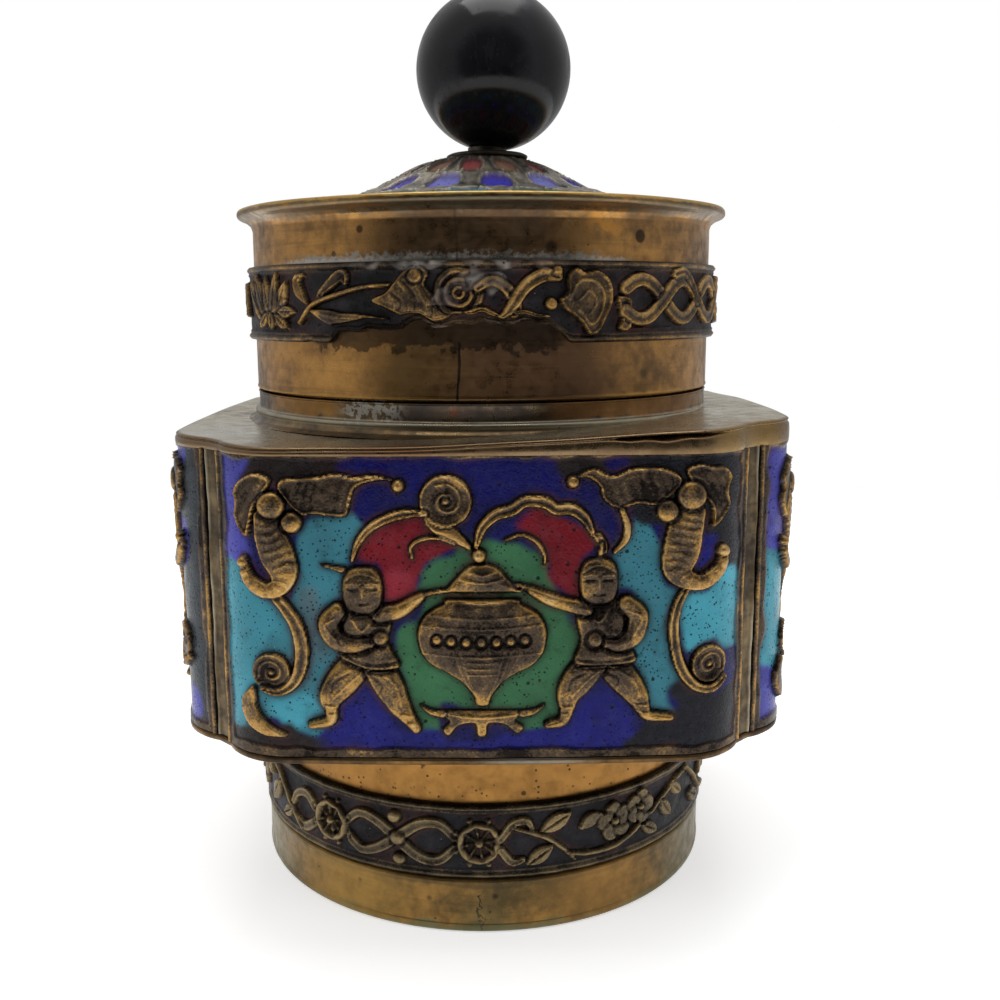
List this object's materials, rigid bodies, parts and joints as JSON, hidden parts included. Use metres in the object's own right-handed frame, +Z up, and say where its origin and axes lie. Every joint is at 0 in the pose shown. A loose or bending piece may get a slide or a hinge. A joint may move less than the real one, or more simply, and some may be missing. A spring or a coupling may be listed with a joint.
{
  "type": "enamelled brass tea caddy box",
  "caption": "Square enamelled brass box with relief panels on a round foot, under a round lift-off lid with a domed top and a dark ball knob.",
  "frame": {"origin": "centre of the foot's underside, on the surface that the box stands on", "axes": "+Z up through the lid and knob, the front panel faces -Y, +X to the viewer's right"},
  "size_m": [0.0778, 0.0778, 0.1188],
  "materials": {
    "foot_brass": "worn orange-gold sheet brass with dark stains and a small crack",
    "strip_brass": "dark patinated stamped relief with rubbed gold edges",
    "plate_brass": "silvery-grey worn brass, dull shine, scratched",
    "post_brass": "dark patina with bright edges",
    "lid_brass": "orange-brown lacquered sheet brass, stained",
    "panel_enamel": "relief figures in dark gold brass on a pitted glossy enamel ground of blue, turquoise, green and red",
    "dome_enamel": "petal cells of blue, red and orange enamel between grey brass walls",
    "knob_glass": "opaque black glass, glossy"
  },
  "bodies": {
    "root": {"foot_drum": "foot_brass", "foot_relief_strip": "strip_brass", "base_plate": "plate_brass", "panel_front": "panel_enamel", "panel_right": "panel_enamel", "panel_back": "panel_enamel", "panel_left": "panel_enamel", "post_front_right": "post_brass", "post_back_right": "post_brass", "post_back_left": "post_brass", "post_front_left": "post_brass", "top_plate": "plate_brass", "neck": "plate_brass", "lid_cap": "lid_brass", "lid_relief_strip": "strip_brass", "lid_dome": "dome_enamel", "knob_stem": "strip_brass", "knob_ball": "knob_glass"}
  },
  "joints": []
}
